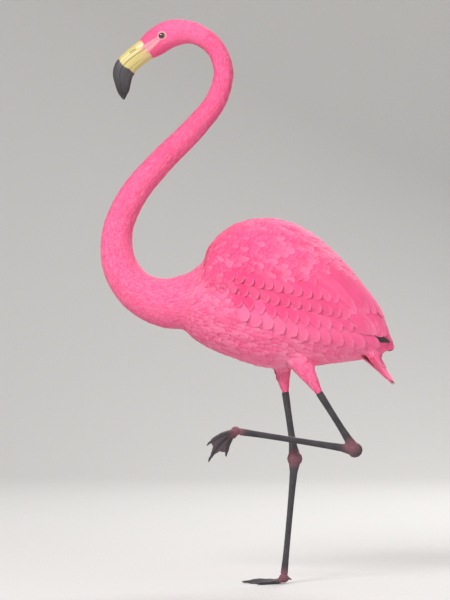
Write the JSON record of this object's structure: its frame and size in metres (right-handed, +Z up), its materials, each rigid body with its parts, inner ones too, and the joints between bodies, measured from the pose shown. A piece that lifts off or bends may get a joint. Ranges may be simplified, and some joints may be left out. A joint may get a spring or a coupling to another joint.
{
  "type": "flamingo",
  "caption": "Life-size still model of a pink flamingo standing on one leg, the other drawn up and folded, neck in an S and bill turned down.",
  "frame": {"origin": "on the floor under the middle toe of the standing right foot, below the bird's centre of mass", "axes": "+Z up, the bird faces -X, its left side faces -Y"},
  "size_m": [0.5904, 0.2092, 1.1296],
  "materials": {
    "plumage": "matte",
    "bill": "satin",
    "eye": "gloss",
    "leg_skin": "satin",
    "web": "satin",
    "claw": "satin"
  },
  "bodies": {
    "root": {"trunk": "plumage", "neck_lower": "plumage", "neck_middle": "plumage", "neck_upper": "plumage", "head": "plumage", "bill_upper": "bill", "bill_lower": "bill", "tail": "plumage", "eye_left": "eye", "eye_right": "eye", "wing_left": "plumage", "wing_tip_left": "plumage", "wing_right": "plumage", "wing_tip_right": "plumage", "thigh_left": "plumage", "shin_left": "leg_skin", "ankle_left": "leg_skin", "tarsus_left": "leg_skin", "toe_joint_left": "leg_skin", "toe_inner_left": "leg_skin", "toe_middle_left": "leg_skin", "toe_outer_left": "leg_skin", "toe_hind_left": "leg_skin", "claw_inner_left": "claw", "claw_middle_left": "claw", "claw_outer_left": "claw", "web_inner_left": "web", "web_outer_left": "web", "thigh_right": "plumage", "shin_right": "leg_skin", "ankle_right": "leg_skin", "tarsus_right": "leg_skin", "toe_joint_right": "leg_skin", "toe_inner_right": "leg_skin", "toe_middle_right": "leg_skin", "toe_outer_right": "leg_skin", "toe_hind_right": "leg_skin", "claw_inner_right": "claw", "claw_middle_right": "claw", "claw_outer_right": "claw", "web_inner_right": "web", "web_outer_right": "web"}
  },
  "joints": []
}
